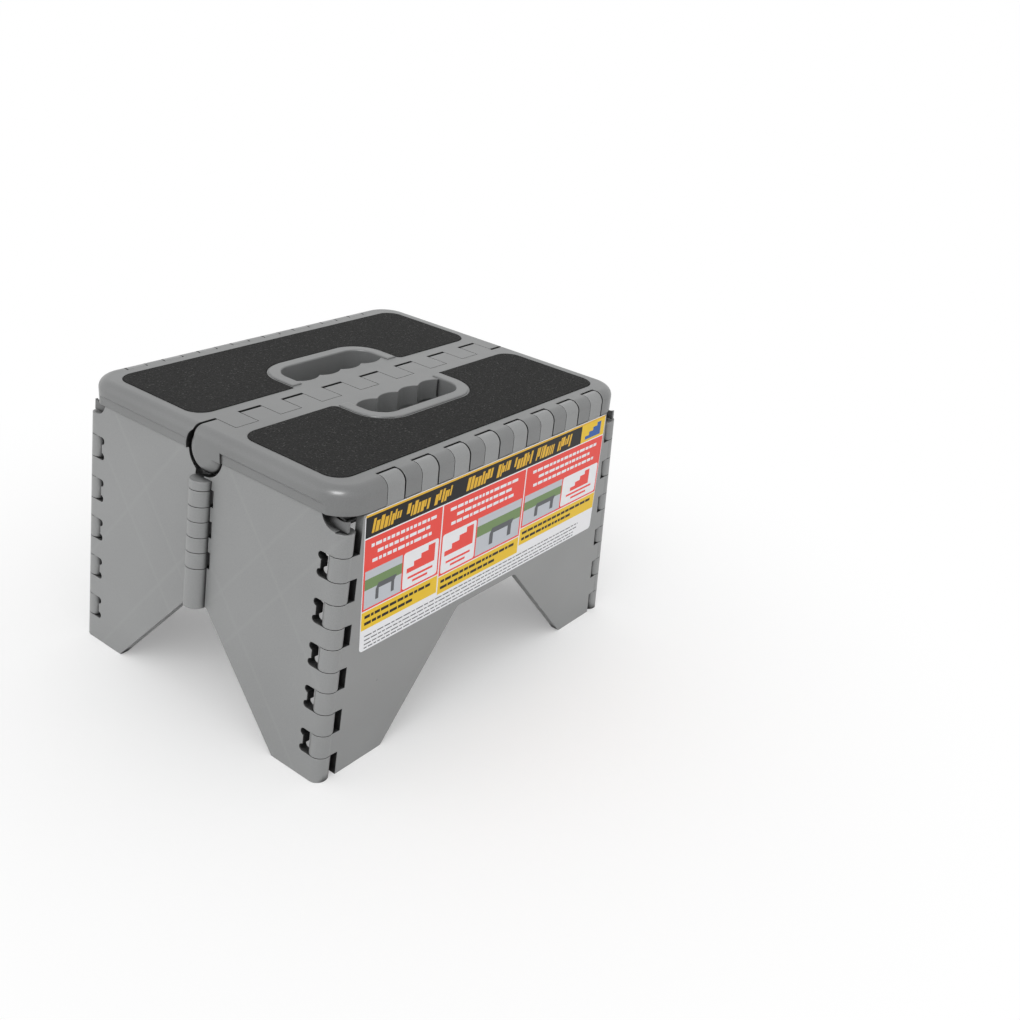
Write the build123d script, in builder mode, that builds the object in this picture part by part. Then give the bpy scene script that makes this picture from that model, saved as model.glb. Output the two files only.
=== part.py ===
from build123d import *
import math
import os

# Folding caravan entry step, open, in millimetres.
# X runs along the hinges and the labelled panel, -Y is the labelled side, Z is up.

# Tread, both halves together
LENGTH = 340.0
DEPTH = 285.0
HEIGHT = 230.0
RIM_DROP = 20.0
EDGE_R = 8.0
CORNER_R = 26.0
DECK = 3.6
SKIRT = 3.4
BAND_H = 7.5
BAND_IN = 1.5
LIP_R = 1.5
RIM_Z = HEIGHT - RIM_DROP

# Outer tread hinges and centre hinge
OUT_R = EDGE_R
OUT_Y = DEPTH / 2 - OUT_R
OUT_Z = HEIGHT - OUT_R
MID_R = 18.0
MID_Z = HEIGHT - MID_R
DOME_R = 9.0
PIN_R = 4.0
MID_PIN_R = 5.0
RUN = 0.08
GAP = 0.5
SWEEP_R = math.hypot(OUT_R, OUT_Z - RIM_Z) + 0.4

# Panel knuckles on the front edge of the tread
TOP_COUNT = 8
TOP_PITCH = LENGTH / 9.63
TOP_W = 17.0
TOP_X0 = -3.6 * TOP_PITCH
TOP_X1 = TOP_X0 + (TOP_COUNT - 1) * TOP_PITCH + TOP_W
TOP_CLEAR = 0.9
TOP_PLAY = 1.4

# Centre fingers
FINGER = LENGTH / 16
FINGER_X0 = -7 * FINGER
FINGER_END = 8.9
FINGER_SLOT = 3.0

# Leaning end walls
LEAN = 5.0
FOOT_X = LENGTH / 2 + 7.6
WALL_R = 8.0
WALL_SKIN = 3.0
WALL_DEEP = 7.0
OUTSET = OUT_Z - MID_Z
POST_R = 9.0
WALL_TOP = RIM_Z - GAP
SLOT = 2.5
BOSS_GAP = 0.9
RECESS_R = 12.0

# Hinge heights along the leaning axes, as shares of the rim's height
WALL_SHARES = [(0.0, 0.097), (0.19, 0.274), (0.363, 0.44), (0.53, 0.605), (0.697, 0.777), (0.868, 0.95)]
POST_SHARES = [(0.582, 0.642), (0.703, 0.761), (0.821, 0.88)]
WALL_KNUCKLES = [(a * RIM_Z, b * RIM_Z) for a, b in WALL_SHARES]
POST_KNUCKLES = [(a * RIM_Z, b * RIM_Z) for a, b in POST_SHARES]
POST_BASE = 0.4215 * RIM_Z
POST_TOP = MID_Z - MID_R - 1.7

# Front and rear panels
FACE_Y = DEPTH / 2 - 0.5
PANEL_SKIN = 3.2
PANEL_DEEP = 7.0
ARCH_X0 = 0.35 * LENGTH
ARCH_X1 = 0.109 * LENGTH
ARCH_Z = 0.438 * RIM_Z
RIB = 2.2

# Hand holes
HOLE_X = 50.0
HOLE_Y0 = 33.0
HOLE_Y1 = 62.0
HOLE_R = 18.0
BEAD = 10.0
BEAD_UP = 1.2
BEAD_Y = 26.0
SCALLOP_R = 19.0
SCALLOP_PITCH = 24.0
SCALLOP_DEEP = 4.3

# Anti-slip pads
PAD_X = LENGTH / 2 - 14
PAD_Y0 = 23.0
PAD_Y1 = OUT_Y - 11
PAD_R = 15.0
PAD_T = 1.6
PAD_SINK = 1.2
PAD_GAP = 0.5
NOTCH_R = 5.5

# Label on the front panel
LABEL_T = 0.3
LABEL_X = LENGTH / 2 - 22.5
LABEL_Z0 = ARCH_Z + 6
LABEL_Z1 = RIM_Z - 1.3

TAN = math.tan(math.radians(LEAN))

left_frame = Location((-FOOT_X, 0, 0), (0, LEAN, 0))
right_frame = Location((FOOT_X, 0, 0), (0, -LEAN, 0))
left_plane = Plane(
    origin=(-FOOT_X, 0, 0),
    x_dir=(0, -1, 0),
    z_dir=(-math.cos(math.radians(LEAN)), 0, math.sin(math.radians(LEAN))),
)


def axis_x(z):
    """Distance of a corner axis from the middle of the step at height z."""
    return FOOT_X - z * TAN


def bar_x(x0, x1, y, z, r, mode=Mode.ADD):
    """Round bar along X."""
    with Locations(Location(((x0 + x1) / 2, y, z), (0, 90, 0))):
        Cylinder(r, x1 - x0, mode=mode)


def block(x0, x1, y0, y1, z0, z1, mode=Mode.ADD, frame=Location()):
    """Box between two corners, in the world or in a leaning frame."""
    with Locations(frame * Location(((x0 + x1) / 2, (y0 + y1) / 2, (z0 + z1) / 2))):
        Box(x1 - x0, y1 - y0, z1 - z0, mode=mode)


def post(frame, x, y, z0, z1, r, mode=Mode.ADD):
    """Round bar along a leaning hinge axis."""
    with Locations(frame * Location((x, y, (z0 + z1) / 2))):
        Cylinder(r, z1 - z0, mode=mode)


def between(knuckles):
    """The stretches between neighbouring knuckles."""
    return [(a[1] + GAP, b[0] - GAP) for a, b in zip(knuckles, knuckles[1:])]


PANEL_KNUCKLES = between(WALL_KNUCKLES)


def fingers(own):
    """X ranges of the centre fingers of the front tread, or of the rear one."""
    edges = [-LENGTH / 2] + [FINGER_X0 + FINGER * i for i in range(15)] + [LENGTH / 2]
    spans = list(zip(edges, edges[1:]))
    return spans[0::2] if own else spans[1::2]


def hole_outline(grow, mode=Mode.ADD):
    """D-shaped outline of the hand hole on the front tread, grown by a rim."""
    x = HOLE_X + grow
    y0 = -HOLE_Y1 - grow
    y1 = -HOLE_Y0 + grow
    r = HOLE_R + grow
    with BuildSketch(Plane.XY, mode=Mode.PRIVATE) as outline:
        with Locations((0, (y0 + y1) / 2)):
            Rectangle(2 * x, y1 - y0)
        fillet(outline.vertices().group_by(Axis.Y)[0], min(r, y1 - y0 - 1))
    add(outline.sketch, mode=mode)


def pad_outline(gap):
    """Outline of a pad or, with no gap, of its recess."""
    with BuildSketch(Plane.XY, mode=Mode.PRIVATE) as outline:
        with Locations((0, -(PAD_Y0 + PAD_Y1) / 2)):
            RectangleRounded(2 * (PAD_X - gap), PAD_Y1 - PAD_Y0 - 2 * gap, PAD_R - gap)
        hole_outline(BEAD + 1.2 + gap, mode=Mode.SUBTRACT)
        notch = outline.vertices().filter_by(lambda v: v.Y > -PAD_Y0 - gap - 0.1).sort_by(Axis.X)
        fillet([v for v in notch if -HOLE_X - BEAD - 5 < v.X < 0], NOTCH_R)
    add(outline.sketch)


# Front tread

with BuildPart() as front_tread:
    with BuildSketch(Plane.XY.offset(RIM_Z)) as deck_plan:
        with Locations((0, (FINGER_END - DEPTH / 2) / 2)):
            Rectangle(LENGTH, DEPTH / 2 + FINGER_END)
        fillet(deck_plan.vertices().group_by(Axis.Y)[0], CORNER_R)
    extrude(amount=RIM_DROP)
    top_edges = front_tread.faces().sort_by(Axis.Z)[-1].edges()
    fillet(top_edges.sort_by(Axis.Y)[:-1], EDGE_R)

    # Recessed band under the rounded lip of each side, from the centre barrel to the front
    for side in (-1, 1):
        lip = side * LENGTH / 2
        step = side * BAND_IN
        band_z = RIM_Z + BAND_H
        bend = LIP_R * math.sqrt(0.5)
        with BuildSketch(Plane.XZ.offset(MID_R + 1)) as band:
            with BuildLine():
                Polyline(
                    (lip, band_z + LIP_R),
                    (lip + step, band_z + LIP_R),
                    (lip + step, RIM_Z - 1),
                    (lip - step, RIM_Z - 1),
                    (lip - step, band_z),
                )
                ThreePointArc(
                    (lip - step, band_z),
                    (lip - step + side * bend, band_z + LIP_R - bend),
                    (lip, band_z + LIP_R),
                )
            make_face()
        extrude(amount=DEPTH / 2 - MID_R, mode=Mode.SUBTRACT)

    # Underside hollow with crossed ribs
    hollow_x = LENGTH / 2 - SKIRT - BAND_IN
    hollow_y0 = MID_R + 3.5
    hollow_y1 = OUT_Y - OUT_R - TOP_CLEAR - 4.6
    with BuildSketch(Plane.XY.offset(RIM_Z - 1)) as hollow:
        with Locations((0, -(hollow_y0 + hollow_y1) / 2)):
            Rectangle(2 * hollow_x, hollow_y1 - hollow_y0)
        hole_outline(4, mode=Mode.SUBTRACT)
        with Locations((0, -HOLE_Y0)):
            Rectangle(2 * HOLE_X + 8, 2 * (HOLE_Y0 - hollow_y0) + 2, mode=Mode.SUBTRACT)
        for i in (-5, -4, -3, -2, 2, 3, 4, 5):
            with Locations((i * LENGTH / 12.14, -OUT_Y / 2)):
                Rectangle(RIB, OUT_Y, mode=Mode.SUBTRACT)
        for i in (-1, 0, 1):
            with Locations((i * LENGTH / 12.14, -HOLE_Y1 - OUT_Y / 2)):
                Rectangle(RIB, OUT_Y, mode=Mode.SUBTRACT)
        for share in (0.34, 0.58, 0.76):
            with Locations((0, -share * OUT_Y)):
                Rectangle(LENGTH, RIB, mode=Mode.SUBTRACT)
    extrude(amount=RIM_DROP - DECK + 1, mode=Mode.SUBTRACT)
    block(-hollow_x, hollow_x, -hollow_y1, -hollow_y0, RIM_Z - 1, RIM_Z + 3, mode=Mode.SUBTRACT)

    # Centre barrel, with a domed end where this half carries it
    with BuildSketch(Plane.XZ) as barrel:
        dome_x = DOME_R - LENGTH / 2
        dome_z = MID_Z + MID_R - DOME_R
        bend = DOME_R * math.sqrt(0.5)
        with BuildLine():
            Polyline(
                (dome_x, MID_Z + MID_R),
                (LENGTH / 2, MID_Z + MID_R),
                (LENGTH / 2, MID_Z),
                (-LENGTH / 2, MID_Z),
                (-LENGTH / 2, dome_z),
            )
            ThreePointArc((-LENGTH / 2, dome_z), (dome_x - bend, dome_z + bend), (dome_x, MID_Z + MID_R))
        make_face()
    revolve(axis=Axis((0, 0, MID_Z), (1, 0, 0)))
    for x0, x1 in fingers(False):
        far = x1 + 1 if x1 > LENGTH / 2 - 1 else x1 + GAP / 2
        slot_y = FINGER_END + FINGER_SLOT
        block(x0 - GAP / 2, far, -slot_y, 2 * MID_R, MID_Z - MID_R - 2, HEIGHT + 1, mode=Mode.SUBTRACT)
        bar_x(x0 - GAP / 2, far, 0, MID_Z, MID_R + 0.6, mode=Mode.SUBTRACT)
    for x0, x1 in fingers(True):
        mid = (x0 + x1) / 2
        block(mid - 3.2, mid + 3.2, -20, 20, MID_Z - 20, MID_Z - 8.5, mode=Mode.SUBTRACT)
    bar_x(0, LENGTH / 2, 0, MID_Z, MID_PIN_R + RUN, mode=Mode.SUBTRACT)
    bar_x(-LENGTH / 2 + 3, -0.4, 0, MID_Z, MID_PIN_R)

    # Windows for the panel knuckles, with the outer pin across them
    for i in range(TOP_COUNT):
        x0 = TOP_X0 + TOP_PITCH * i - GAP
        x1 = x0 + TOP_W + GAP + TOP_PLAY
        bar_x(x0, x1, -OUT_Y, OUT_Z, OUT_R + TOP_CLEAR, mode=Mode.SUBTRACT)
        block(x0, x1, -DEPTH / 2 - 2, -OUT_Y, RIM_Z - 2, HEIGHT + 1, mode=Mode.SUBTRACT)
        block(x0, x1, -OUT_Y - 1, -OUT_Y + OUT_R + TOP_CLEAR, RIM_Z - 2, OUT_Z, mode=Mode.SUBTRACT)
    bar_x(TOP_X0 - 4, TOP_X1 + TOP_PLAY + 3, -OUT_Y, OUT_Z, PIN_R)

    # Hand hole with finger scallops and a raised bead round its outer sides
    with BuildSketch(Plane.XY.offset(HEIGHT - 1)) as bead:
        hole_outline(BEAD)
        hole_outline(0, mode=Mode.SUBTRACT)
        Rectangle(2 * HOLE_X, 2 * HOLE_Y0, mode=Mode.SUBTRACT)
        with Locations((0, HOLE_Y0 - BEAD_Y)):
            Rectangle(3 * HOLE_X, 2 * HOLE_Y0, mode=Mode.SUBTRACT)
    extrude(amount=1 + BEAD_UP)
    bead_edges = front_tread.faces().sort_by(Axis.Z)[-1].edges()
    fillet(bead_edges, BEAD_UP - 0.05)
    with BuildSketch(Plane.XY.offset(RIM_Z - 1)) as hand_hole:
        for i in range(4):
            with Locations(((i - 1.5) * SCALLOP_PITCH, -HOLE_Y0 + SCALLOP_DEEP - SCALLOP_R)):
                Circle(SCALLOP_R)
        with Locations((0, -HOLE_Y0 - SCALLOP_R)):
            Rectangle(3 * HOLE_X, 2 * SCALLOP_R - 2, mode=Mode.SUBTRACT)
        with Locations((0, -HOLE_Y0 - 2.5 * SCALLOP_R)):
            Rectangle(3 * HOLE_X, 3 * SCALLOP_R, mode=Mode.SUBTRACT)
        hole_outline(0)
    extrude(amount=RIM_DROP + 4, mode=Mode.SUBTRACT)

    # Recess for the pad
    with BuildSketch(Plane.XY.offset(HEIGHT - PAD_SINK)) as recess:
        pad_outline(0)
    extrude(amount=PAD_SINK + 3, mode=Mode.SUBTRACT)
front_tread.part.label = "front_tread"

with BuildPart() as front_pad:
    with BuildSketch(Plane.XY.offset(HEIGHT - PAD_SINK)) as pad_plan:
        pad_outline(PAD_GAP)
    extrude(amount=PAD_T)
front_pad.part.label = "front_pad"

# Front panel

with BuildPart() as front_panel:
    with BuildSketch(Plane.XZ.offset(FACE_Y)) as face:
        with BuildLine():
            Polyline(
                (-axis_x(0), 0),
                (-ARCH_X0, 0),
                (-ARCH_X1, ARCH_Z),
                (ARCH_X1, ARCH_Z),
                (ARCH_X0, 0),
                (axis_x(0), 0),
                (axis_x(WALL_TOP), WALL_TOP),
                (-axis_x(WALL_TOP), WALL_TOP),
                close=True,
            )
        make_face()
        fillet(face.vertices().filter_by(lambda v: abs(v.X) < ARCH_X1 + 1), 9)
        fillet(face.vertices().filter_by(lambda v: abs(abs(v.X) - ARCH_X0) < 1), 3)
    extrude(amount=-PANEL_DEEP)
    with BuildSketch(Plane.XZ.offset(FACE_Y - PANEL_DEEP)) as cells:
        with BuildLine():
            Polyline(
                (-axis_x(0) + 15, 4),
                (-ARCH_X0 - 2, 4),
                (-ARCH_X1 - 1.5, ARCH_Z + 4),
                (ARCH_X1 + 1.5, ARCH_Z + 4),
                (ARCH_X0 + 2, 4),
                (axis_x(0) - 15, 4),
                (axis_x(WALL_TOP) - 15, WALL_TOP - 6),
                (-axis_x(WALL_TOP) + 15, WALL_TOP - 6),
                close=True,
            )
        make_face()
        for i in range(-3, 4):
            with Locations((i * 0.11 * LENGTH, RIM_Z / 2)):
                Rectangle(RIB, RIM_Z, mode=Mode.SUBTRACT)
        for i in range(4):
            with Locations((0, (0.286 + 0.171 * i) * RIM_Z)):
                Rectangle(3 * FOOT_X, RIB, mode=Mode.SUBTRACT)
    extrude(amount=PANEL_DEEP - PANEL_SKIN, mode=Mode.SUBTRACT)

    # Room for the tread's lower edge as it turns
    bar_x(-FOOT_X, FOOT_X, -OUT_Y, OUT_Z, SWEEP_R, mode=Mode.SUBTRACT)

    # Corner knuckles, between the walls' knuckles
    for frame, side in ((left_frame, 1), (right_frame, -1)):
        for w0, w1 in WALL_KNUCKLES:
            low = w0 - 3 if w0 == 0 else w0 - GAP
            high = w1 + RIM_DROP if w1 > 0.9 * RIM_Z else w1 + GAP
            x0, x1 = sorted((-14 * side, (WALL_R + SLOT) * side))
            block(x0, x1, -FACE_Y - 3, -OUT_Y + 12, low, high, mode=Mode.SUBTRACT, frame=frame)
        for w0, w1 in PANEL_KNUCKLES:
            post(frame, 0, -OUT_Y, w0, w1, WALL_R)
            post(frame, 0, -OUT_Y, w0 - 1, w1 + 1, PIN_R + RUN, mode=Mode.SUBTRACT)

    # Top knuckles that stand up into the tread's edge
    for i in range(TOP_COUNT):
        x0 = TOP_X0 + TOP_PITCH * i
        bar_x(x0, x0 + TOP_W, -OUT_Y, OUT_Z, OUT_R)
        block(x0, x0 + TOP_W, -FACE_Y, -FACE_Y + PANEL_DEEP, OUT_Z - SWEEP_R - 4, RIM_Z)
        block(x0, x0 + TOP_W, -DEPTH / 2, -FACE_Y + PANEL_DEEP, RIM_Z, OUT_Z)
        bar_x(x0 - 1, x0 + TOP_W + 1, -OUT_Y, OUT_Z, PIN_R + RUN, mode=Mode.SUBTRACT)
front_panel.part.label = "front_panel"

with BuildPart() as front_label:
    with BuildSketch(Plane.XZ.offset(FACE_Y)) as label_plan:
        with Locations((0, (LABEL_Z0 + LABEL_Z1) / 2)):
            RectangleRounded(2 * LABEL_X, LABEL_Z1 - LABEL_Z0, 3)
    extrude(amount=LABEL_T)
front_label.part.label = "front_label"


def wall_plate(side):
    """Half of the left end wall: side 1 towards the front, -1 towards the rear."""
    with BuildSketch(left_plane.offset(WALL_R - WALL_DEEP)) as outline:
        with BuildLine():
            Polyline(
                (0, POST_BASE),
                (side * 10.5, POST_BASE),
                (side * 0.69 * OUT_Y, 0),
                (side * 0.69 * OUT_Y, -4),
                (side * OUT_Y, -4),
                (side * OUT_Y, HEIGHT),
                (0, HEIGHT),
                close=True,
            )
        make_face()
    extrude(outline.sketch, amount=WALL_DEEP)
    with BuildSketch(left_plane.offset(WALL_R - WALL_DEEP)) as cells:
        with BuildLine():
            Polyline(
                (side * 15, POST_BASE + 5),
                (side * (0.69 * OUT_Y + 2.5), 5),
                (side * (OUT_Y - 15), 5),
                (side * (OUT_Y - 15), RIM_Z - 14),
                (side * (OUT_Y - 24), RIM_Z - 4),
                (side * (MID_R + 7), RIM_Z - 4),
                (side * 15, MID_Z - MID_R - 9),
                close=True,
            )
        make_face()
        for share, turn in ((0.52, 50), (0.76, -50), (0.29, -50), (0.76, 50)):
            with Locations(Location((side * OUT_Y / 2, share * RIM_Z), side * turn)):
                Rectangle(RIM_Z + 50, RIB, mode=Mode.SUBTRACT)
    extrude(cells.sketch, amount=WALL_DEEP - WALL_SKIN, mode=Mode.SUBTRACT)
    block(-FOOT_X - 50, 0, -DEPTH, DEPTH, -30, 0, mode=Mode.SUBTRACT)
    block(-FOOT_X - 50, 0, -DEPTH, DEPTH, WALL_TOP, HEIGHT + 10, mode=Mode.SUBTRACT)

    # Room for the centre barrel's domed end and for the tread's turning edge
    bar_x(-FOOT_X - 30, -LENGTH / 3, 0, MID_Z, MID_R + BOSS_GAP, mode=Mode.SUBTRACT)
    bar_x(-FOOT_X - 30, -LENGTH / 3, -side * (OUT_Y - 2), RIM_Z + 2, RECESS_R, mode=Mode.SUBTRACT)
    y0, y1 = sorted((-side * (OUT_Y - 2), -side * DEPTH))
    block(-FOOT_X - 30, -LENGTH / 3, y0, y1, RIM_Z + 2 - RECESS_R, HEIGHT, mode=Mode.SUBTRACT)

    # Corner knuckles, with the pin across the panel's knuckles
    for w0, w1 in PANEL_KNUCKLES:
        y0, y1 = sorted((-side * (OUT_Y - WALL_R - SLOT), -side * DEPTH))
        block(-14, 14, y0, y1, w0 - GAP, w1 + GAP, mode=Mode.SUBTRACT, frame=left_frame)
        for w in (w0 + SLOT, w1 - SLOT):
            with Locations(left_frame * Location((0, -side * (OUT_Y - WALL_R - SLOT), w), (0, 90, 0))):
                Cylinder(SLOT + GAP, 28, mode=Mode.SUBTRACT)
    for w0, w1 in WALL_KNUCKLES:
        post(left_frame, 0, -side * OUT_Y, w0 - (3 if w0 == 0 else 0), w1, WALL_R)
    post(left_frame, 0, -side * OUT_Y, 2, WALL_KNUCKLES[-1][1] - 1.5, PIN_R)
    block(-FOOT_X - 50, 0, -DEPTH, DEPTH, -30, 0, mode=Mode.SUBTRACT)


# Left end wall: the front half carries the middle pin, the rear half has bored knuckles

with BuildPart() as left_front_wall:
    wall_plate(1)
    for w0, w1 in POST_KNUCKLES:
        block(-22, 8, -POST_R - SLOT, 20, w0 - GAP, w1 + GAP, mode=Mode.SUBTRACT, frame=left_frame)
    stretches = [(POST_BASE, POST_BASE)] + POST_KNUCKLES + [(POST_TOP, POST_TOP)]
    for a, b in zip(stretches, stretches[1:]):
        low = a[1] + (GAP if a[1] > POST_BASE else 0)
        high = b[0] - (GAP if b[0] < POST_TOP else 0)
        post(left_frame, -OUTSET, 0, low, high, POST_R)
    post(left_frame, -OUTSET, 0, POST_BASE + 2, POST_TOP - 2, PIN_R)
left_front_wall.part.label = "left_front_wall"

with BuildPart() as left_rear_wall:
    wall_plate(-1)
    spans = [POST_BASE - 5] + [w for pair in POST_KNUCKLES for w in pair] + [POST_TOP + 4]
    for w0, w1 in list(zip(spans, spans[1:]))[0::2]:
        low = w0 - GAP if w0 > POST_BASE else w0
        high = w1 + GAP if w1 < POST_TOP else w1
        block(-22, 8, -20, POST_R + 0.8, low, high, mode=Mode.SUBTRACT, frame=left_frame)
    for w0, w1 in POST_KNUCKLES:
        post(left_frame, -OUTSET, 0, w0, w1, POST_R)
        post(left_frame, -OUTSET, 0, w0 - 1, w1 + 1, PIN_R + RUN, mode=Mode.SUBTRACT)
left_rear_wall.part.label = "left_rear_wall"

# The other half of each pair is the same moulding turned round, but the rear tread's fingers are longer

with BuildPart() as rear_tread:
    add(front_tread.part.rotate(Axis.Z, 180))
    for x0, x1 in fingers(False)[:-1]:
        tip_y = -FINGER_END - FINGER_SLOT + GAP
        block(x0 + GAP / 2, x1 - GAP / 2, tip_y, 0, MID_Z + MID_R / 2, HEIGHT)
rear_tread.part.label = "rear_tread"

with BuildPart() as rear_pad:
    add(front_pad.part.rotate(Axis.Z, 180))
rear_pad.part.label = "rear_pad"

with BuildPart() as rear_panel:
    add(front_panel.part.rotate(Axis.Z, 180))
rear_panel.part.label = "rear_panel"

with BuildPart() as right_rear_wall:
    add(left_front_wall.part.rotate(Axis.Z, 180))
right_rear_wall.part.label = "right_rear_wall"

with BuildPart() as right_front_wall:
    add(left_rear_wall.part.rotate(Axis.Z, 180))
right_front_wall.part.label = "right_front_wall"

os.makedirs("parts", exist_ok=True)
export_step(front_tread.part, "parts/front_tread.step")
export_step(rear_tread.part, "parts/rear_tread.step")
export_step(front_pad.part, "parts/front_pad.step")
export_step(rear_pad.part, "parts/rear_pad.step")
export_step(front_panel.part, "parts/front_panel.step")
export_step(rear_panel.part, "parts/rear_panel.step")
export_step(front_label.part, "parts/front_label.step")
export_step(left_front_wall.part, "parts/left_front_wall.step")
export_step(left_rear_wall.part, "parts/left_rear_wall.step")
export_step(right_front_wall.part, "parts/right_front_wall.step")
export_step(right_rear_wall.part, "parts/right_rear_wall.step")
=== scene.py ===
import math
import random

import bmesh
import bpy
from mathutils import Matrix, Vector


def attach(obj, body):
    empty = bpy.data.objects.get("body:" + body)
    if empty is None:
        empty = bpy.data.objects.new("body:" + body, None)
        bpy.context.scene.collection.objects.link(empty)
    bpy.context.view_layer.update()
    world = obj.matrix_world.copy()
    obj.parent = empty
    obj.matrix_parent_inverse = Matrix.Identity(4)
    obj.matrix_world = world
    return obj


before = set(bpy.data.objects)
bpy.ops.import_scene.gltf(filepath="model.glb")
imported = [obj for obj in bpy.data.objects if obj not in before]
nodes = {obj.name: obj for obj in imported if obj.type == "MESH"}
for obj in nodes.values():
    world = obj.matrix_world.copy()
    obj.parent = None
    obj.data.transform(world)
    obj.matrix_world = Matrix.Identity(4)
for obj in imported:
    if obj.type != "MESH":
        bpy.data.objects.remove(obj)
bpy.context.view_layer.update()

MM = 0.001

# Camera fitted to the photograph, in millimetres and degrees
CAM_AZIMUTH = -54.99
CAM_ELEVATION = 26.14
CAM_ROLL = 6.43
CAM_DISTANCE = 1013.77
CAM_TARGET = (99.79, -86.15, 110.0)
CAM_FOCAL_PX = 1128.67
CAM_CLIP = (0.05, 60)
FRAME_PX = 1020
SENSOR_MM = 36.0

# Grey plastic: display tones, noise scales in waves per metre, and how much each effect counts
WALL_TONE = 142
TREAD_TONE = 122
# Web tone is darker: painted shade of the recess behind the walls' corners
WEB_SHADED_TONE = 108
# Painted shade: colour and share that darken slots and hollows in place of real shade
PAINTED_SHADE_COLOUR = (10, 10, 10)
DRIFT_SCALE = 9.0
GRAIN_SCALE = 1500.0
EDGE_WEAR_AND_HIGHLIGHT_SCALE = 160.0
GLOSS_SCALE = 60.0
WAVE_SCALE = 34.0
GRAIN_SHARE = 0.16
RIB_SHARE = 0.2
PAINTED_SHADE_SHARE = 0.96
# Edge lightening: partly wear, partly painted highlight on rounded edges
EDGE_WEAR_AND_HIGHLIGHT_GAIN = 2.4
GLOSS_LOW = 0.24
GLOSS_SPAN = 0.14
GRAIN_HEIGHT = 0.05
WAVE_HEIGHT = 0.8
RIB_HEIGHT = 0.2

# Edge rounding, in millimetres
EDGE_RADIUS = 1.0
EDGE_SAMPLES = 6

# Painted shade in slots and hollows: reach in millimetres, and the openness at which a face is painted
# dark or left clear.
# The first of each pair is for faces turned away from outward, the second for faces that look
# outward, and FACING is where one goes over into the other.
PAINTED_SHADE_REACH = 10.0
PAINTED_SHADE_SAMPLES = 8
PAINTED_SHADE_DARK = (0.5, 0.3)
PAINTED_SHADE_CLEAR = (0.84, 0.5)
FACING = (0.3, 0.7)

# Grit: noise scales in waves per metre, and the noise above which a grain gets a painted glint
GRIT_CELLS = 620.0
GRIT_FINE = 1700.0
GRIT_PAINTED_GLINTS = 640.0
GRIT_PATCHES = 22.0
PAINTED_GLINT_ABOVE = 0.64

# Printed film: noise scales in waves per metre, and how much of the darker ink shows
FILM_GRAIN = 900.0
FILM_WAVES = 28.0
INK_SHARE = 0.35

# Diagonal ribs behind the end walls, in millimetres and degrees:
# the height at which each crosses the wall's middle, and its slope
RIB_AWAY = 67.25
WALL_RIBS = ((109.2, 50), (159.6, -50), (60.9, -50), (159.6, 50))
RIB_WIDE = 2.2

# End walls and the tread's outer hinges, for the webs behind the walls' corner recesses, in millimetres
FOOT_X = 177.6
LEAN = math.radians(5)
HINGE_Y = 134.5
HINGE_Z = 222.0
WALL_TOP = 209.5
RECESS_Y = 132.5
RECESS_Z = 212.0
RECESS_R = 12.0
RECESS_START = -14
RECESS_TURN = 76
SWEEP_R = 15.2
WEB_NEAR = 1.0
WEB_FAR = 3.0
WEB_END = 141.0
WEB_STEPS = 12

# Printed label on the front panel, in millimetres
LABEL_FACE = 142.3
FILM = 0.05
PRINT_X0 = -146.9
PRINT_X1 = 146.9
PRINT_SEED = 7
DASH_WIDTHS = (2.5, 8.0)
CORNER_STEPS = 4

# Heading band: slanted strokes in groups, where 0 leaves a wide gap, and a stairs mark at its right end
BAND_Z0 = 190.5
BAND_Z1 = 206.6
RULE_Z1 = 208.2
BLOCK_X0 = 112.0
MARK_PLACE = (118.0, 192.6)
MARK_SIZE = (23.0, 12.0)
STROKES_X0 = -141.0
STROKE_GROUPS = (9, 7, 6, 0, 8, 5, 7, 8, 6)
STROKE_WIDTHS = (1.7, 2.4, 3.4)
STROKE_FEET = (193.2, 193.2, 196.0)
STROKE_TOPS = (201.4, 203.8)
STROKE_LEAN = 0.2
STROKE_GAP = 0.9
GROUP_GAP = 5.0
WORD_GAP = 12.0

# Fields: left, right and foot of each, and whether its picture comes before its note
FIELDS = (
    (PRINT_X0, -66.0, 120.0, True),
    (-64.6, 36.0, 117.0, False),
    (37.4, PRINT_X1, 123.0, True),
)
RED_Z0 = 164.0
RED_Z1 = 189.4
LINE_SHARES = (0.42, 0.34, 0.4)
LINE_DROP = 7.4
LINE_STEP = 6.2
YELLOW_BELOW = 4.0
YELLOW_ABOVE = 11.0
YELLOW_LINES = ((5.2, 0.94), (-0.4, 0.7))
FINE_ROWS = ((109.6, 126.0), (106.2, 126.0), (102.8, 120.0), (99.8, 120.0))
FINE_X0 = -143.0

# Studio, in metres, degrees and plain levels
FLOOR_HALF = 14.0
FLOOR_BOUNCE = 0.9
WHITE_FROM = 0.14
WHITE_TO = 0.6
WHITE_SHARE = 0.25
SKY_LEVEL = 0.8
# Name, direction that it shines from, strength, spread, and whether it lights dull surfaces
SUNS = (
    ("key", (-0.66, -0.24, 0.71), 0.55, 42, True),
    ("glint", (-0.62, -0.3, 0.72), 2.4, 24, False),
)
FILL_PLACE = (-0.95, 0.75, 0.55)
FILL_AIM = (-0.18, 0.06, 0.12)
FILL_WATTS = 0.8
FILL_SIZE = 0.8


def srgb(r, g, b):
    """Linear colour from 0..255 display values."""
    out = []
    for v in (r, g, b):
        v = v / 255
        out.append(v / 12.92 if v <= 0.04045 else ((v + 0.055) / 1.055) ** 2.4)
    return (*out, 1.0)


# Materials


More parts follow.
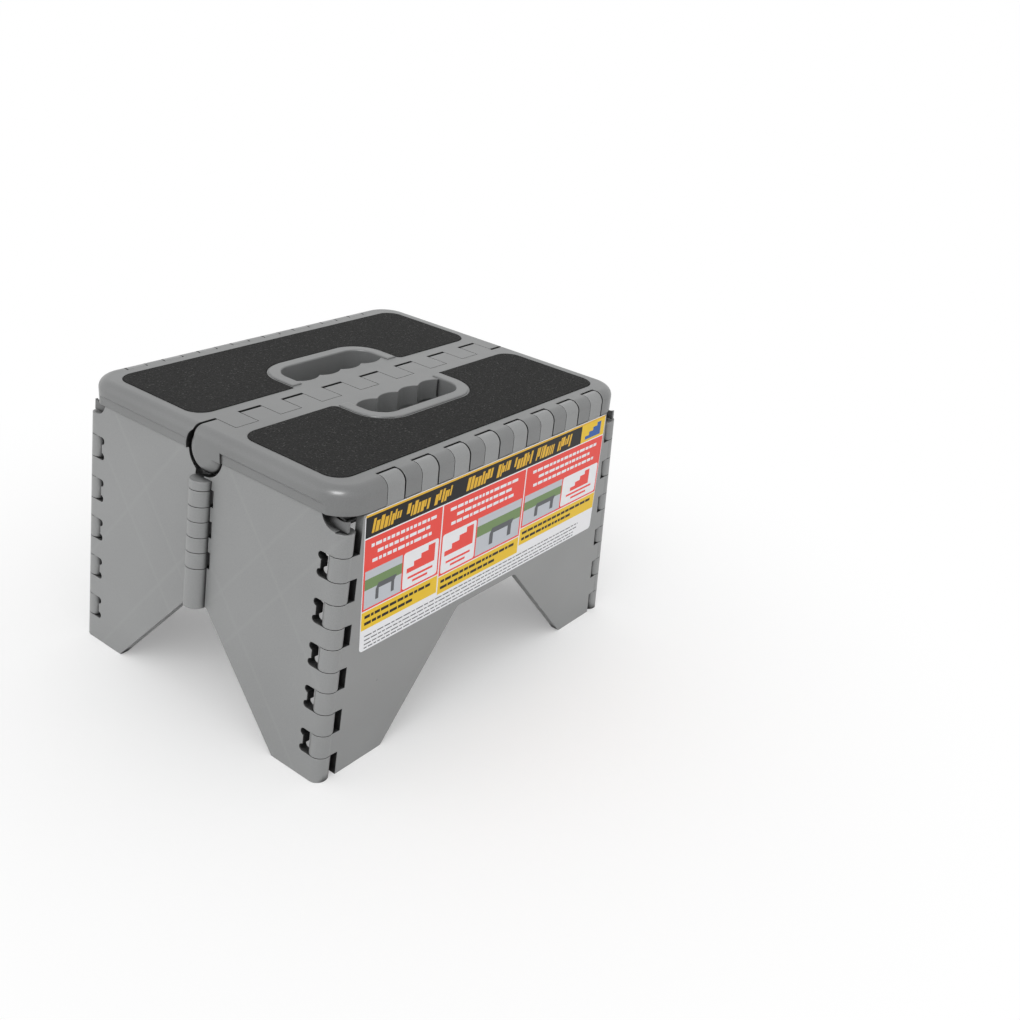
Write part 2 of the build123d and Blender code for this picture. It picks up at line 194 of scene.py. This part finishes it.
class Tree:
    """Short calls for building a node material."""

    def __init__(self, name):
        self.material = bpy.data.materials.new(name)
        self.material.use_nodes = True
        self.nodes = self.material.node_tree.nodes
        self.links = self.material.node_tree.links
        self.shader = self.nodes["Principled BSDF"]
        place = self.nodes.new("ShaderNodeTexCoord")
        self.coords = place.outputs["Object"]
        self.facing = place.outputs["Normal"]
        self.soft = None

    def feed(self, socket, value):
        """Link the socket to another node's output, or set it to a plain value."""
        if isinstance(value, bpy.types.NodeSocket):
            self.links.new(value, socket)
        else:
            socket.default_value = value

    def math(self, operation, a, b, clamp=False):
        node = self.nodes.new("ShaderNodeMath")
        node.operation = operation
        node.use_clamp = clamp
        self.feed(node.inputs[0], a)
        self.feed(node.inputs[1], b)
        return node.outputs[0]

    def absolute(self, a):
        return self.math("ABSOLUTE", a, 0.0)

    def times(self, a, b, clamp=False):
        return self.math("MULTIPLY", a, b, clamp)

    def minus(self, a, b, clamp=False):
        return self.math("SUBTRACT", a, b, clamp)

    def plus(self, a, b, clamp=False):
        return self.math("ADD", a, b, clamp)

    def dot(self, a, b):
        node = self.nodes.new("ShaderNodeVectorMath")
        node.operation = "DOT_PRODUCT"
        self.feed(node.inputs[0], a)
        self.feed(node.inputs[1], b)
        return node.outputs["Value"]

    def noise(self, scale, detail=3.0, roughness=0.5):
        node = self.nodes.new("ShaderNodeTexNoise")
        node.inputs["Scale"].default_value = scale
        node.inputs["Detail"].default_value = detail
        node.inputs["Roughness"].default_value = roughness
        self.feed(node.inputs["Vector"], self.coords)
        return node.outputs["Fac"]

    def cells(self, scale):
        """Distance from the middle of each of many small cells."""
        node = self.nodes.new("ShaderNodeTexVoronoi")
        node.inputs["Scale"].default_value = scale
        self.feed(node.inputs["Vector"], self.coords)
        return node.outputs["Distance"]

    def ramp(self, factor, start, end):
        """Colour from one stop to another, each a place and a colour."""
        node = self.nodes.new("ShaderNodeValToRGB")
        for element, (place, colour) in zip(node.color_ramp.elements, (start, end)):
            element.position = place
            element.color = colour
        self.feed(node.inputs["Fac"], factor)
        return node.outputs["Color"]

    def mix(self, factor, a, b):
        node = self.nodes.new("ShaderNodeMix")
        node.data_type = "RGBA"
        colour_a, colour_b = node.inputs[6], node.inputs[7]
        self.feed(node.inputs[0], factor)
        self.feed(colour_a, a)
        self.feed(colour_b, b)
        return node.outputs[2]

    def bump(self, height, strength, distance, normal=None):
        node = self.nodes.new("ShaderNodeBump")
        node.inputs["Strength"].default_value = strength
        node.inputs["Distance"].default_value = distance * MM
        self.feed(node.inputs["Height"], height)
        if normal is not None:
            self.feed(node.inputs["Normal"], normal)
        return node.outputs["Normal"]

    def rounded(self):
        """Normals with every moulded edge eased."""
        if self.soft is None:
            node = self.nodes.new("ShaderNodeBevel")
            node.samples = EDGE_SAMPLES
            node.inputs["Radius"].default_value = EDGE_RADIUS * MM
            self.soft = node.outputs["Normal"]
        return self.soft

    def spread(self, value, start, end, low, high):
        """Value from start to end spread over low to high, and held there outside."""
        node = self.nodes.new("ShaderNodeMapRange")
        sockets = ("From Min", "From Max", "To Min", "To Max")
        for socket, given in zip(sockets, (start, end, low, high)):
            self.feed(node.inputs[socket], given)
        self.feed(node.inputs["Value"], value)
        return node.outputs["Result"]

    def painted_shade(self, outward):
        """Painted shade mask: 1 deep inside slots, 0 on open faces, and stronger on faces that don't
        face outward.
        """
        node = self.nodes.new("ShaderNodeAmbientOcclusion")
        node.samples = PAINTED_SHADE_SAMPLES
        node.inputs["Distance"].default_value = PAINTED_SHADE_REACH * MM
        facing = self.dot(self.facing, outward)
        dark = self.spread(facing, *FACING, *PAINTED_SHADE_DARK)
        clear = self.spread(facing, *FACING, *PAINTED_SHADE_CLEAR)
        return self.spread(node.outputs["AO"], dark, clear, 1.0, 0.0)

    def rib_lines(self, width):
        """1 along the diagonal ribs behind an end wall, fading to 0 beside them."""
        split = self.nodes.new("ShaderNodeSeparateXYZ")
        self.feed(split.inputs[0], self.coords)
        away = self.minus(self.absolute(split.outputs["Y"]), RIB_AWAY * MM)
        total = 0.0
        for height, slope in WALL_RIBS:
            turn = math.radians(slope)
            rise = self.minus(split.outputs["Z"], height * MM)
            across = self.times(away, math.sin(turn))
            across = self.minus(across, self.times(rise, math.cos(turn)))
            near = self.math("DIVIDE", self.absolute(across), width * MM)
            total = self.plus(total, self.minus(1.0, near, clamp=True), clamp=True)
        return total

    def edge(self, gain):
        """0 on flat faces, up to 1 beside an edge."""
        geometry = self.nodes.new("ShaderNodeNewGeometry")
        flat = self.dot(self.rounded(), geometry.outputs["Normal"])
        return self.times(self.minus(1.0, flat), gain, clamp=True)

    def finish(self, colour, roughness, specular, normal):
        """Feed the shader and hand back the material."""
        self.feed(self.shader.inputs["Base Color"], colour)
        self.feed(self.shader.inputs["Roughness"], roughness)
        self.feed(self.shader.inputs["Specular IOR Level"], specular)
        self.feed(self.shader.inputs["Normal"], normal)
        return self.material


def grey_plastic(name, outward, tone=WALL_TONE, ribbed=False):
    """Satin moulded grey: fine grain, slow drift, paler edges that are partly wear and partly painted
    highlight, painted shade in slots, faint marks over ribs.
    """
    t = Tree(name)

    def grey(change):
        return srgb(tone + change, tone + change + 1, tone + change + 1)

    drift = t.noise(DRIFT_SCALE, detail=2.0)
    base = t.ramp(drift, (0.3, grey(-4)), (0.7, grey(4)))
    grain = t.noise(GRAIN_SCALE, detail=2.0, roughness=0.6)
    base = t.mix(GRAIN_SHARE, base, t.ramp(grain, (0.3, grey(-26)), (0.7, grey(24))))
    if ribbed:
        base = t.mix(t.times(t.rib_lines(RIB_WIDE), RIB_SHARE), base, grey(16))
    # Paler edges: partly wear, partly painted highlight standing in for light caught by rounded edges
    worn_and_highlit = t.times(t.edge(EDGE_WEAR_AND_HIGHLIGHT_GAIN), t.noise(EDGE_WEAR_AND_HIGHLIGHT_SCALE, roughness=0.65))
    base = t.mix(worn_and_highlit, base, grey(42))
    # Painted shade: slots and hollows darkened towards near-black, stronger on faces turned from
    # outward
    base = t.mix(t.times(t.painted_shade(outward), PAINTED_SHADE_SHARE), base, srgb(*PAINTED_SHADE_COLOUR))
    gloss = t.times(t.noise(GLOSS_SCALE, detail=4.0, roughness=0.6), GLOSS_SPAN)
    gloss = t.plus(gloss, GLOSS_LOW)
    height = t.times(grain, GRAIN_HEIGHT)
    height = t.plus(height, t.times(t.noise(WAVE_SCALE, detail=2.0), WAVE_HEIGHT))
    if ribbed:
        height = t.minus(height, t.times(t.rib_lines(2 * RIB_WIDE), RIB_HEIGHT))
    normal = t.bump(height, strength=0.5, distance=0.35, normal=t.rounded())
    return t.finish(base, gloss, specular=0.5, normal=normal)


def grit_pad():
    """Black anti-slip sheet: packed grit grains, a few of them with a painted glint."""
    t = Tree("grit")
    grains = t.cells(GRIT_CELLS)
    fine = t.noise(GRIT_FINE, detail=2.0, roughness=0.7)
    painted_glint = t.math("GREATER_THAN", t.noise(GRIT_PAINTED_GLINTS, detail=2.0, roughness=0.6), PAINTED_GLINT_ABOVE)
    patch = t.noise(GRIT_PATCHES)
    base = t.ramp(grains, (0.0, srgb(50, 50, 50)), (0.9, srgb(24, 24, 24)))
    base = t.mix(0.5, base, t.ramp(fine, (0.35, srgb(20, 20, 20)), (0.7, srgb(70, 70, 69))))
    # Painted highlight: pale grains standing in for glints
    base = t.mix(t.times(painted_glint, 0.5), base, srgb(104, 104, 103))
    base = t.mix(t.times(patch, 0.25), base, srgb(54, 54, 53))
    height = t.minus(t.times(fine, 0.7), grains)
    grit = t.bump(height, strength=0.8, distance=0.5)
    return t.finish(base, roughness=0.9, specular=0.12, normal=grit)


def film(name, colour, darker):
    """Glossy printed film with a soft print grain and slight waviness."""
    t = Tree(name)
    ink = t.times(t.noise(FILM_GRAIN, detail=2.0), INK_SHARE)
    base = t.mix(ink, srgb(*colour), srgb(*darker))
    waves = t.bump(t.noise(FILM_WAVES, detail=2.0), strength=0.25, distance=0.4)
    return t.finish(base, roughness=0.3, specular=0.3, normal=waves)


# Faces that look along a plastic's outward direction count as open; the rest take the painted shade
# sooner
PLASTICS = {
    "front_tread": grey_plastic("grey_front_tread", (0, 0, 1), TREAD_TONE),
    "rear_tread": grey_plastic("grey_rear_tread", (0, 0, 1), TREAD_TONE),
    "front_panel": grey_plastic("grey_front_panel", (0, -1, 0)),
    "rear_panel": grey_plastic("grey_rear_panel", (0, 1, 0)),
    "left_wall": grey_plastic("grey_left_wall", (-1, 0, 0), ribbed=True),
    "right_wall": grey_plastic("grey_right_wall", (1, 0, 0), ribbed=True),
    # Web: darker tone, and an outward that looks down so more of it takes painted shade
    "web": grey_plastic("grey_web_painted_shade", (0, 0, -1), WEB_SHADED_TONE),
}
GRIT = grit_pad()
FILMS = {
    "black": film("film_black", (12, 12, 13), (24, 24, 26)),
    "gold": film("film_gold", (232, 184, 52), (214, 160, 40)),
    "yellow": film("film_yellow", (240, 200, 44), (228, 184, 36)),
    "red": film("film_red", (240, 78, 68), (226, 64, 56)),
    "blue": film("film_blue", (40, 96, 170), (30, 82, 150)),
    "paper": film("film_paper", (240, 240, 242), (228, 229, 234)),
    "slate": film("film_slate", (96, 98, 102), (84, 86, 90)),
    "green": film("film_green", (120, 146, 96), (104, 130, 84)),
    "pale": film("film_pale", (196, 200, 206), (184, 188, 196)),
}


def assign(obj, material):
    obj.data.materials.clear()
    obj.data.materials.append(material)


for name, obj in nodes.items():
    if name.endswith("_pad"):
        assign(obj, GRIT)
    elif name == "front_label":
        assign(obj, FILMS["paper"])
    elif name.endswith("_wall"):
        assign(obj, PLASTICS[name.split("_")[0] + "_wall"])
    else:
        assign(obj, PLASTICS[name])


# Pieces added to the CAD model


def add(name, data):
    """New object in the scene."""
    obj = bpy.data.objects.new(name, data)
    bpy.context.scene.collection.objects.link(obj)
    return obj


def prism(bm, rear_points, fore_points):
    """Closed prism between two outlines with as many points each."""
    rear = [bm.verts.new(point) for point in rear_points]
    fore = [bm.verts.new(point) for point in fore_points]
    bm.faces.new(fore)
    bm.faces.new(list(reversed(rear)))
    count = len(rear)
    for i in range(count):
        j = (i + 1) % count
        bm.faces.new((rear[i], rear[j], fore[j], fore[i]))


def piece(name, bm, material, body):
    """Piece made of the bmesh, riding on a body."""
    bmesh.ops.recalc_face_normals(bm, faces=bm.faces)
    mesh = bpy.data.meshes.new(name)
    bm.to_mesh(mesh)
    bm.free()
    obj = add(name, mesh)
    assign(obj, material)
    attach(obj, body)


def recess_outline():
    """Web's outline from above the recess down round its arc, then along the tread's turning edge."""
    outline = []
    for k in range(WEB_STEPS + 1):
        a = math.radians(RECESS_START - RECESS_TURN * k / WEB_STEPS)
        outline.append((RECESS_Y - RECESS_R * math.cos(a), RECESS_Z + RECESS_R * math.sin(a)))
    outline.append((WEB_END, RECESS_Z - RECESS_R))
    start = outline[0][0]
    for k in range(WEB_STEPS + 1):
        y = WEB_END + (start - WEB_END) * k / WEB_STEPS
        away = SWEEP_R ** 2 - (y - HINGE_Y) ** 2
        rise = HINGE_Z - math.sqrt(away) if away > 0 else WALL_TOP
        outline.append((y, min(rise, WALL_TOP)))
    return outline


def recess_web(wall, side, end):
    """Thin web that closes a wall's corner recess from behind, clear of the tread's turning edge, in a
    darker grey that paints the recess's shade.
    """

    def face(out):
        points = []
        for y, z in recess_outline():
            x = FOOT_X - z * math.tan(LEAN) + out / math.cos(LEAN)
            points.append((side * x * MM, end * y * MM, z * MM))
        return points

    bm = bmesh.new()
    prism(bm, face(WEB_NEAR), face(WEB_FAR))
    piece(wall.replace("_wall", "_recess_web"), bm, PLASTICS["web"], wall)


recess_web("left_front_wall", -1, -1)
recess_web("left_rear_wall", -1, 1)
recess_web("right_front_wall", 1, -1)
recess_web("right_rear_wall", 1, 1)


# Label print: plain fields and simple marks, thin film prisms on the label's face


class Print:
    """Collects flat shapes of each colour and turns them into film pieces on the label."""

    def __init__(self):
        self.meshes = {}
        self.random = random.Random(PRINT_SEED)

    def polygon(self, colour, layer, points):
        bm = self.meshes.setdefault((colour, layer), bmesh.new())
        back = -(LABEL_FACE + FILM * (layer - 1)) * MM
        front = -(LABEL_FACE + FILM * layer) * MM
        rear_points = [(x * MM, back, z * MM) for x, z in points]
        fore_points = [(x * MM, front, z * MM) for x, z in points]
        prism(bm, rear_points, fore_points)

    def bar(self, colour, layer, x0, x1, z0, z1, lean=0.0):
        shift = (z1 - z0) * lean
        self.polygon(colour, layer, [(x0, z0), (x1, z0), (x1 + shift, z1), (x0 + shift, z1)])

    def rounded(self, colour, layer, x0, x1, z0, z1, r):
        """Bar with rounded corners."""
        left, right, low, high = x0 + r, x1 - r, z0 + r, z1 - r
        points = []
        for cx, cz, start in ((right, low, -90), (right, high, 0), (left, high, 90), (left, low, 180)):
            for k in range(CORNER_STEPS + 1):
                a = math.radians(start + 90 * k / CORNER_STEPS)
                points.append((cx + r * math.cos(a), cz + r * math.sin(a)))
        self.polygon(colour, layer, points)

    def stairs(self, colour, layer, x, z, wide, tall):
        """Four plain steps going up to the right."""
        run = wide / 4
        rise = tall / 4
        points = [(x, z), (x + wide, z), (x + wide, z + tall)]
        for k in (3, 2, 1):
            points += [(x + run * k, z + rise * (k + 1)), (x + run * k, z + rise * k)]
        points.append((x, z + rise))
        self.polygon(colour, layer, points)

    def strokes(self):
        """Groups of slanted strokes of uneven width and height along the heading band."""
        x = STROKES_X0
        for strokes in STROKE_GROUPS:
            if not strokes:
                x += WORD_GAP
                continue
            for _ in range(strokes):
                width = self.random.choice(STROKE_WIDTHS)
                foot = self.random.choice(STROKE_FEET)
                top = self.random.choice(STROKE_TOPS)
                self.bar("gold", 2, x, x + width, foot, top, STROKE_LEAN)
                x += width + STROKE_GAP
            x += GROUP_GAP

    def dashes(self, colour, layer, x0, x1, z, tall, gap):
        """A row of short bars of uneven width."""
        x = x0
        while x < x1 - tall:
            width = min(self.random.uniform(*DASH_WIDTHS), x1 - x)
            self.bar(colour, layer, x, x + width, z, z + tall)
            x += width + gap

    def picture(self, x0, x1, z0, z1):
        """Small plain scene: pale sky and paving, a green bank and a dark step."""
        tall = z1 - z0
        wide = x1 - x0
        self.bar("pale", 2, x0, x1, z0, z1)
        self.bar("green", 3, x0, x1, z0 + 0.5 * tall, z0 + 0.78 * tall)
        left = x0 + 0.3 * wide
        foot = z0 + 0.14 * tall
        seat = z0 + 0.42 * tall
        self.bar("slate", 4, left, left + 0.5 * wide, seat, z0 + 0.56 * tall, 0.6)
        self.bar("slate", 4, left, left + 0.08 * wide, foot, seat)
        self.bar("slate", 4, left + 0.42 * wide, left + 0.5 * wide, foot, seat)

    def note(self, x0, x1, z0, z1):
        """Pale rounded box with a red stairs mark over two red bars."""
        self.rounded("paper", 2, x0, x1, z0, z1, 2.2)
        mid = (x0 + x1) / 2
        tall = 0.5 * (z1 - z0)
        self.stairs("red", 3, mid - tall, z1 - 2.5 - tall, 2 * tall, tall)
        for k, share in enumerate((0.36, 0.22)):
            half = (x1 - x0) * share
            self.bar("red", 3, mid - half, mid + half, z0 + 7.4 - 4 * k, z0 + 9.2 - 4 * k)

    def heading(self):
        """Black band under a gold rule, with strokes and a stairs mark in a yellow block."""
        self.bar("black", 1, PRINT_X0, PRINT_X1, BAND_Z0, BAND_Z1)
        self.bar("gold", 1, PRINT_X0, PRINT_X1, BAND_Z1, RULE_Z1)
        self.bar("yellow", 2, BLOCK_X0, PRINT_X1, BAND_Z0, BAND_Z1)
        self.stairs("blue", 3, *MARK_PLACE, *MARK_SIZE)
        self.strokes()

    def field(self, x0, x1, z0, picture_first):
        """Red heading with pale lines, a picture beside a note, and a yellow strip."""
        wide = x1 - x0
        mid = (x0 + x1) / 2
        self.bar("red", 1, x0, x1, z0 + 12, RED_Z1)
        for k, share in enumerate(LINE_SHARES):
            z = RED_Z1 - LINE_DROP - LINE_STEP * k
            half = wide * share
            self.dashes("paper", 2, mid - half, mid + half, z, tall=2.6, gap=1.3)
        cut = x0 + wide * (0.5 if picture_first else 0.42)
        left = (x0 + 1.6, cut - 0.8, z0 + 13.5, RED_Z0)
        right = (cut + 0.8, x1 - 1.6, z0 + 13.5, RED_Z0)
        self.picture(*(left if picture_first else right))
        self.note(*(right if picture_first else left))
        self.bar("yellow", 1, x0, x1, z0 - YELLOW_BELOW, z0 + YELLOW_ABOVE)
        for rise, share in YELLOW_LINES:
            end = x0 + wide * share
            self.dashes("black", 2, x0 + 3, end, z0 + rise, tall=2.4, gap=1.1)

    def fine_lines(self):
        """Rows of small grey dashes along the label's foot."""
        for z, end in FINE_ROWS:
            self.dashes("slate", 1, FINE_X0, end, z, tall=0.9, gap=1.2)

    def make(self, body):
        for (colour, layer), bm in sorted(self.meshes.items()):
            piece(f"print_{colour}_{layer}", bm, FILMS[colour], body)


press = Print()
press.heading()
for field in FIELDS:
    press.field(*field)
press.fine_lines()
press.make("front_panel")


# Studio: pale floor, white surround, a soft key and a glint from the upper left, a fill at the left


def light_path(tree, *rays):
    """1 for any of the named kinds of ray, else 0."""
    path = tree.nodes.new("ShaderNodeLightPath")
    seen = path.outputs[rays[0]]
    for ray in rays[1:]:
        either = tree.nodes.new("ShaderNodeMath")
        either.operation = "MAXIMUM"
        tree.links.new(seen, either.inputs[0])
        tree.links.new(path.outputs[ray], either.inputs[1])
        seen = either.outputs[0]
    return seen


def blend_shaders(tree, factor, a, b):
    node = tree.nodes.new("ShaderNodeMixShader")
    for socket, source in zip(node.inputs, (factor, a, b)):
        tree.links.new(source, socket)
    return node.outputs[0]


def floor_white():
    """Bounces light as a pale floor. The camera sees its shadows, fading to plain white further out."""
    material = bpy.data.materials.new("floor_white")
    material.use_nodes = True
    tree = material.node_tree
    bounce = tree.nodes["Principled BSDF"]
    bounce.inputs["Base Color"].default_value = (FLOOR_BOUNCE, FLOOR_BOUNCE, FLOOR_BOUNCE, 1)
    bounce.inputs["Roughness"].default_value = 0.9
    bounce.inputs["Specular IOR Level"].default_value = 0.1
    shaded = tree.nodes.new("ShaderNodeBsdfDiffuse")
    shaded.inputs["Color"].default_value = (1, 1, 1, 1)
    white = tree.nodes.new("ShaderNodeEmission")
    place = tree.nodes.new("ShaderNodeTexCoord")
    radius = tree.nodes.new("ShaderNodeVectorMath")
    radius.operation = "LENGTH"
    tree.links.new(place.outputs["Object"], radius.inputs[0])
    fade = tree.nodes.new("ShaderNodeMapRange")
    fade.interpolation_type = "SMOOTHSTEP"
    fade.inputs["From Min"].default_value = WHITE_FROM
    fade.inputs["From Max"].default_value = WHITE_TO
    fade.inputs["To Min"].default_value = WHITE_SHARE
    tree.links.new(radius.outputs["Value"], fade.inputs["Value"])
    seen = blend_shaders(tree, fade.outputs["Result"], shaded.outputs[0], white.outputs[0])
    blend = blend_shaders(tree, light_path(tree, "Is Camera Ray"), bounce.outputs[0], seen)
    tree.links.new(blend, tree.nodes["Material Output"].inputs[0])
    return material


def floor():
    half = FLOOR_HALF
    corners = [(-half, -half, 0), (half, -half, 0), (half, half, 0), (-half, half, 0)]
    mesh = bpy.data.meshes.new("floor")
    mesh.from_pydata(corners, [], [(0, 1, 2, 3)])
    mesh.materials.append(floor_white())
    add("floor", mesh)


def surround():
    """World that is white to the camera and in reflections, and lights the object at SKY_LEVEL."""
    world = bpy.data.worlds.new("surround")
    bpy.context.scene.world = world
    world.use_nodes = True
    tree = world.node_tree
    background = tree.nodes["Background"]
    background.inputs["Color"].default_value = (1, 1, 1, 1)
    level = tree.nodes.new("ShaderNodeMapRange")
    level.inputs["To Min"].default_value = SKY_LEVEL
    level.inputs["To Max"].default_value = 1.0
    seen = light_path(tree, "Is Camera Ray", "Is Glossy Ray", "Is Transmission Ray")
    tree.links.new(seen, level.inputs["Value"])
    tree.links.new(level.outputs["Result"], background.inputs["Strength"])


def aim(lamp, towards):
    """Turn a lamp so that it shines from the direction towards."""
    lamp.rotation_euler = Vector(towards).to_track_quat("Z", "Y").to_euler()


def lamps():
    for name, towards, strength, spread, lights_dull in SUNS:
        sun = bpy.data.lights.new(name, "SUN")
        sun.energy = strength
        sun.angle = math.radians(spread)
        lamp = add(name, sun)
        lamp.visible_diffuse = lights_dull
        aim(lamp, towards)
    panel = bpy.data.lights.new("fill", "AREA")
    panel.energy = FILL_WATTS
    panel.size = FILL_SIZE
    lamp = add("fill", panel)
    lamp.location = FILL_PLACE
    aim(lamp, Vector(FILL_PLACE) - Vector(FILL_AIM))


def camera():
    azimuth = math.radians(CAM_AZIMUTH)
    elevation = math.radians(CAM_ELEVATION)
    roll = math.radians(CAM_ROLL)
    level = math.cos(elevation)
    back = Vector((math.sin(azimuth) * level, -math.cos(azimuth) * level, math.sin(elevation)))
    right = (-back).cross(Vector((0, 0, 1))).normalized()
    up = right.cross(-back)
    turned_right = right * math.cos(roll) + up * math.sin(roll)
    turned_up = up * math.cos(roll) - right * math.sin(roll)
    data = bpy.data.cameras.new("camera")
    data.sensor_width = SENSOR_MM
    data.lens = CAM_FOCAL_PX * SENSOR_MM / FRAME_PX
    data.clip_start, data.clip_end = CAM_CLIP
    obj = add("camera", data)
    place = (Vector(CAM_TARGET) + back * CAM_DISTANCE) * MM
    turn = Matrix((turned_right, turned_up, back)).transposed()
    obj.matrix_world = Matrix.Translation(place) @ turn.to_4x4()
    bpy.context.scene.camera = obj


floor()
surround()
lamps()
camera()
bpy.context.scene.view_settings.view_transform = "Standard"
